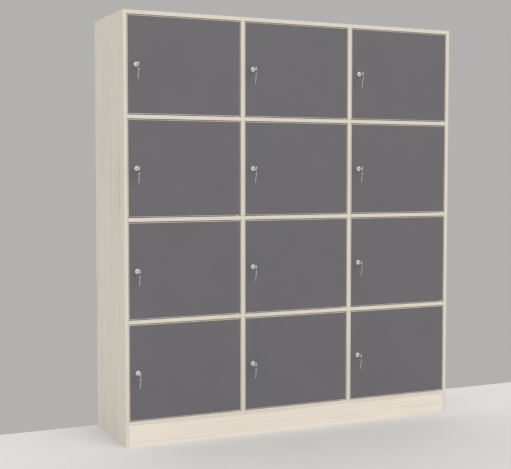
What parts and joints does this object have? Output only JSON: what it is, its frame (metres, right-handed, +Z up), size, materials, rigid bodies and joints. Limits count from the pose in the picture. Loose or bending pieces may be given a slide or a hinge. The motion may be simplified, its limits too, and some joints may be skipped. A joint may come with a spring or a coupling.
{
  "type": "locker unit",
  "caption": "Floor-standing birch locker unit on a plinth: grey flush doors in a grid, each with a cylinder lock, a key in it and a spare key on a ring.",
  "frame": {"origin": "middle of the bounding box at floor level, keys included", "axes": "+Z up, +X to the right seen from the front, +Y to the rear; the doors face -Y"},
  "size_m": [1.56, 0.4426, 1.768],
  "materials": {
    "birch_board": "matt birch-pattern laminate",
    "birch_edging": "matt birch-pattern edging",
    "plinth_board": "matt birch-pattern laminate, grain level",
    "back_board": "matt painted fibreboard",
    "door_laminate": "matt grey laminate",
    "lock_metal": "bright nickel plate",
    "key_metal": "nickel-plated key",
    "ring_metal": "nickel-plated wire and key",
    "nylon_bush": "natural nylon",
    "strike_steel": "zinc-plated steel"
  },
  "bodies": {
    "carcass": {"left_side_panel": "birch_board", "right_side_panel": "birch_board", "top_panel": "birch_board", "bottom_panel": "birch_board", "dividers": "birch_board", "shelves": "birch_board", "back_panel": "back_board", "plinth_board": "plinth_board", "plinth_rails": "birch_board", "carcass_edging": "birch_edging", "hinge_bushes": "nylon_bush", "strike_plates": "strike_steel"},
    "door_01_body": {"door_01": "door_laminate"},
    "lock_plug_01_body": {"lock_plug_01": "lock_metal"},
    "key_01_body": {"key_01": "key_metal"},
    "key_ring_01_body": {"key_ring_01": "ring_metal"},
    "door_02_body": {"door_02": "door_laminate"},
    "lock_plug_02_body": {"lock_plug_02": "lock_metal"},
    "key_02_body": {"key_02": "key_metal"},
    "key_ring_02_body": {"key_ring_02": "ring_metal"},
    "door_03_body": {"door_03": "door_laminate"},
    "lock_plug_03_body": {"lock_plug_03": "lock_metal"},
    "key_03_body": {"key_03": "key_metal"},
    "key_ring_03_body": {"key_ring_03": "ring_metal"},
    "door_04_body": {"door_04": "door_laminate"},
    "lock_plug_04_body": {"lock_plug_04": "lock_metal"},
    "key_04_body": {"key_04": "key_metal"},
    "key_ring_04_body": {"key_ring_04": "ring_metal"},
    "door_05_body": {"door_05": "door_laminate"},
    "lock_plug_05_body": {"lock_plug_05": "lock_metal"},
    "key_05_body": {"key_05": "key_metal"},
    "key_ring_05_body": {"key_ring_05": "ring_metal"},
    "door_06_body": {"door_06": "door_laminate"},
    "lock_plug_06_body": {"lock_plug_06": "lock_metal"},
    "key_06_body": {"key_06": "key_metal"},
    "key_ring_06_body": {"key_ring_06": "ring_metal"},
    "door_07_body": {"door_07": "door_laminate"},
    "lock_plug_07_body": {"lock_plug_07": "lock_metal"},
    "key_07_body": {"key_07": "key_metal"},
    "key_ring_07_body": {"key_ring_07": "ring_metal"},
    "door_08_body": {"door_08": "door_laminate"},
    "lock_plug_08_body": {"lock_plug_08": "lock_metal"},
    "key_08_body": {"key_08": "key_metal"},
    "key_ring_08_body": {"key_ring_08": "ring_metal"},
    "door_09_body": {"door_09": "door_laminate"},
    "lock_plug_09_body": {"lock_plug_09": "lock_metal"},
    "key_09_body": {"key_09": "key_metal"},
    "key_ring_09_body": {"key_ring_09": "ring_metal"},
    "door_10_body": {"door_10": "door_laminate"},
    "lock_plug_10_body": {"lock_plug_10": "lock_metal"},
    "key_10_body": {"key_10": "key_metal"},
    "key_ring_10_body": {"key_ring_10": "ring_metal"},
    "door_11_body": {"door_11": "door_laminate"},
    "lock_plug_11_body": {"lock_plug_11": "lock_metal"},
    "key_11_body": {"key_11": "key_metal"},
    "key_ring_11_body": {"key_ring_11": "ring_metal"},
    "door_12_body": {"door_12": "door_laminate"},
    "lock_plug_12_body": {"lock_plug_12": "lock_metal"},
    "key_12_body": {"key_12": "key_metal"},
    "key_ring_12_body": {"key_ring_12": "ring_metal"}
  },
  "joints": [
    {"name": "door_hinge_01", "type": "hinge", "parent": "carcass", "child": "door_01_body", "pos_m": [-0.28033, -0.17069, 1.552], "axis": [0, 0, 1], "range_deg": [0, 110]},
    {"name": "lock_turn_01", "type": "hinge", "parent": "door_01_body", "child": "lock_plug_01_body", "pos_m": [-0.727, -0.17869, 1.552], "axis": [0, 1, 0], "range_deg": [0, 90]},
    {"name": "key_pull_01", "type": "slide", "parent": "lock_plug_01_body", "child": "key_01_body", "axis": [0, -1, 0], "range_m": [0, 0.012]},
    {"name": "ring_swing_01", "type": "hinge", "parent": "key_01_body", "child": "key_ring_01_body", "pos_m": [-0.727, -0.21169, 1.544], "axis": [0, 1, 0], "range_deg": [-90, 0]},
    {"name": "door_hinge_02", "type": "hinge", "parent": "carcass", "child": "door_02_body", "pos_m": [0.23433, -0.17069, 1.552], "axis": [0, 0, 1], "range_deg": [0, 110]},
    {"name": "lock_turn_02", "type": "hinge", "parent": "door_02_body", "child": "lock_plug_02_body", "pos_m": [-0.21233, -0.17869, 1.552], "axis": [0, 1, 0], "range_deg": [0, 90]},
    {"name": "key_pull_02", "type": "slide", "parent": "lock_plug_02_body", "child": "key_02_body", "axis": [0, -1, 0], "range_m": [0, 0.012]},
    {"name": "ring_swing_02", "type": "hinge", "parent": "key_02_body", "child": "key_ring_02_body", "pos_m": [-0.21233, -0.21169, 1.544], "axis": [0, 1, 0], "range_deg": [-90, 0]},
    {"name": "door_hinge_03", "type": "hinge", "parent": "carcass", "child": "door_03_body", "pos_m": [0.749, -0.17069, 1.552], "axis": [0, 0, 1], "range_deg": [0, 110]},
    {"name": "lock_turn_03", "type": "hinge", "parent": "door_03_body", "child": "lock_plug_03_body", "pos_m": [0.30233, -0.17869, 1.552], "axis": [0, 1, 0], "range_deg": [0, 90]},
    {"name": "key_pull_03", "type": "slide", "parent": "lock_plug_03_body", "child": "key_03_body", "axis": [0, -1, 0], "range_m": [0, 0.012]},
    {"name": "ring_swing_03", "type": "hinge", "parent": "key_03_body", "child": "key_ring_03_body", "pos_m": [0.30233, -0.21169, 1.544], "axis": [0, 1, 0], "range_deg": [-90, 0]},
    {"name": "door_hinge_04", "type": "hinge", "parent": "carcass", "child": "door_04_body", "pos_m": [-0.28033, -0.17069, 1.136], "axis": [0, 0, 1], "range_deg": [0, 110]},
    {"name": "lock_turn_04", "type": "hinge", "parent": "door_04_body", "child": "lock_plug_04_body", "pos_m": [-0.727, -0.17869, 1.136], "axis": [0, 1, 0], "range_deg": [0, 90]},
    {"name": "key_pull_04", "type": "slide", "parent": "lock_plug_04_body", "child": "key_04_body", "axis": [0, -1, 0], "range_m": [0, 0.012]},
    {"name": "ring_swing_04", "type": "hinge", "parent": "key_04_body", "child": "key_ring_04_body", "pos_m": [-0.727, -0.21169, 1.128], "axis": [0, 1, 0], "range_deg": [-90, 0]},
    {"name": "door_hinge_05", "type": "hinge", "parent": "carcass", "child": "door_05_body", "pos_m": [0.23433, -0.17069, 1.136], "axis": [0, 0, 1], "range_deg": [0, 110]},
    {"name": "lock_turn_05", "type": "hinge", "parent": "door_05_body", "child": "lock_plug_05_body", "pos_m": [-0.21233, -0.17869, 1.136], "axis": [0, 1, 0], "range_deg": [0, 90]},
    {"name": "key_pull_05", "type": "slide", "parent": "lock_plug_05_body", "child": "key_05_body", "axis": [0, -1, 0], "range_m": [0, 0.012]},
    {"name": "ring_swing_05", "type": "hinge", "parent": "key_05_body", "child": "key_ring_05_body", "pos_m": [-0.21233, -0.21169, 1.128], "axis": [0, 1, 0], "range_deg": [-90, 0]},
    {"name": "door_hinge_06", "type": "hinge", "parent": "carcass", "child": "door_06_body", "pos_m": [0.749, -0.17069, 1.136], "axis": [0, 0, 1], "range_deg": [0, 110]},
    {"name": "lock_turn_06", "type": "hinge", "parent": "door_06_body", "child": "lock_plug_06_body", "pos_m": [0.30233, -0.17869, 1.136], "axis": [0, 1, 0], "range_deg": [0, 90]},
    {"name": "key_pull_06", "type": "slide", "parent": "lock_plug_06_body", "child": "key_06_body", "axis": [0, -1, 0], "range_m": [0, 0.012]},
    {"name": "ring_swing_06", "type": "hinge", "parent": "key_06_body", "child": "key_ring_06_body", "pos_m": [0.30233, -0.21169, 1.128], "axis": [0, 1, 0], "range_deg": [-90, 0]},
    {"name": "door_hinge_07", "type": "hinge", "parent": "carcass", "child": "door_07_body", "pos_m": [-0.28033, -0.17069, 0.72], "axis": [0, 0, 1], "range_deg": [0, 110]},
    {"name": "lock_turn_07", "type": "hinge", "parent": "door_07_body", "child": "lock_plug_07_body", "pos_m": [-0.727, -0.17869, 0.72], "axis": [0, 1, 0], "range_deg": [0, 90]},
    {"name": "key_pull_07", "type": "slide", "parent": "lock_plug_07_body", "child": "key_07_body", "axis": [0, -1, 0], "range_m": [0, 0.012]},
    {"name": "ring_swing_07", "type": "hinge", "parent": "key_07_body", "child": "key_ring_07_body", "pos_m": [-0.727, -0.21169, 0.712], "axis": [0, 1, 0], "range_deg": [-90, 0]},
    {"name": "door_hinge_08", "type": "hinge", "parent": "carcass", "child": "door_08_body", "pos_m": [0.23433, -0.17069, 0.72], "axis": [0, 0, 1], "range_deg": [0, 110]},
    {"name": "lock_turn_08", "type": "hinge", "parent": "door_08_body", "child": "lock_plug_08_body", "pos_m": [-0.21233, -0.17869, 0.72], "axis": [0, 1, 0], "range_deg": [0, 90]},
    {"name": "key_pull_08", "type": "slide", "parent": "lock_plug_08_body", "child": "key_08_body", "axis": [0, -1, 0], "range_m": [0, 0.012]},
    {"name": "ring_swing_08", "type": "hinge", "parent": "key_08_body", "child": "key_ring_08_body", "pos_m": [-0.21233, -0.21169, 0.712], "axis": [0, 1, 0], "range_deg": [-90, 0]},
    {"name": "door_hinge_09", "type": "hinge", "parent": "carcass", "child": "door_09_body", "pos_m": [0.749, -0.17069, 0.72], "axis": [0, 0, 1], "range_deg": [0, 110]},
    {"name": "lock_turn_09", "type": "hinge", "parent": "door_09_body", "child": "lock_plug_09_body", "pos_m": [0.30233, -0.17869, 0.72], "axis": [0, 1, 0], "range_deg": [0, 90]},
    {"name": "key_pull_09", "type": "slide", "parent": "lock_plug_09_body", "child": "key_09_body", "axis": [0, -1, 0], "range_m": [0, 0.012]},
    {"name": "ring_swing_09", "type": "hinge", "parent": "key_09_body", "child": "key_ring_09_body", "pos_m": [0.30233, -0.21169, 0.712], "axis": [0, 1, 0], "range_deg": [-90, 0]},
    {"name": "door_hinge_10", "type": "hinge", "parent": "carcass", "child": "door_10_body", "pos_m": [-0.28033, -0.17069, 0.304], "axis": [0, 0, 1], "range_deg": [0, 110]},
    {"name": "lock_turn_10", "type": "hinge", "parent": "door_10_body", "child": "lock_plug_10_body", "pos_m": [-0.727, -0.17869, 0.304], "axis": [0, 1, 0], "range_deg": [0, 90]},
    {"name": "key_pull_10", "type": "slide", "parent": "lock_plug_10_body", "child": "key_10_body", "axis": [0, -1, 0], "range_m": [0, 0.012]},
    {"name": "ring_swing_10", "type": "hinge", "parent": "key_10_body", "child": "key_ring_10_body", "pos_m": [-0.727, -0.21169, 0.296], "axis": [0, 1, 0], "range_deg": [-90, 0]},
    {"name": "door_hinge_11", "type": "hinge", "parent": "carcass", "child": "door_11_body", "pos_m": [0.23433, -0.17069, 0.304], "axis": [0, 0, 1], "range_deg": [0, 110]},
    {"name": "lock_turn_11", "type": "hinge", "parent": "door_11_body", "child": "lock_plug_11_body", "pos_m": [-0.21233, -0.17869, 0.304], "axis": [0, 1, 0], "range_deg": [0, 90]},
    {"name": "key_pull_11", "type": "slide", "parent": "lock_plug_11_body", "child": "key_11_body", "axis": [0, -1, 0], "range_m": [0, 0.012]},
    {"name": "ring_swing_11", "type": "hinge", "parent": "key_11_body", "child": "key_ring_11_body", "pos_m": [-0.21233, -0.21169, 0.296], "axis": [0, 1, 0], "range_deg": [-90, 0]},
    {"name": "door_hinge_12", "type": "hinge", "parent": "carcass", "child": "door_12_body", "pos_m": [0.749, -0.17069, 0.304], "axis": [0, 0, 1], "range_deg": [0, 110]},
    {"name": "lock_turn_12", "type": "hinge", "parent": "door_12_body", "child": "lock_plug_12_body", "pos_m": [0.30233, -0.17869, 0.304], "axis": [0, 1, 0], "range_deg": [0, 90]},
    {"name": "key_pull_12", "type": "slide", "parent": "lock_plug_12_body", "child": "key_12_body", "axis": [0, -1, 0], "range_m": [0, 0.012]},
    {"name": "ring_swing_12", "type": "hinge", "parent": "key_12_body", "child": "key_ring_12_body", "pos_m": [0.30233, -0.21169, 0.296], "axis": [0, 1, 0], "range_deg": [-90, 0]}
  ],
  "couplings": [
    {"joint": "ring_swing_01", "follows": "lock_turn_01", "ratio": -1},
    {"joint": "ring_swing_02", "follows": "lock_turn_02", "ratio": -1},
    {"joint": "ring_swing_03", "follows": "lock_turn_03", "ratio": -1},
    {"joint": "ring_swing_04", "follows": "lock_turn_04", "ratio": -1},
    {"joint": "ring_swing_05", "follows": "lock_turn_05", "ratio": -1},
    {"joint": "ring_swing_06", "follows": "lock_turn_06", "ratio": -1},
    {"joint": "ring_swing_07", "follows": "lock_turn_07", "ratio": -1},
    {"joint": "ring_swing_08", "follows": "lock_turn_08", "ratio": -1},
    {"joint": "ring_swing_09", "follows": "lock_turn_09", "ratio": -1},
    {"joint": "ring_swing_10", "follows": "lock_turn_10", "ratio": -1},
    {"joint": "ring_swing_11", "follows": "lock_turn_11", "ratio": -1},
    {"joint": "ring_swing_12", "follows": "lock_turn_12", "ratio": -1}
  ]
}
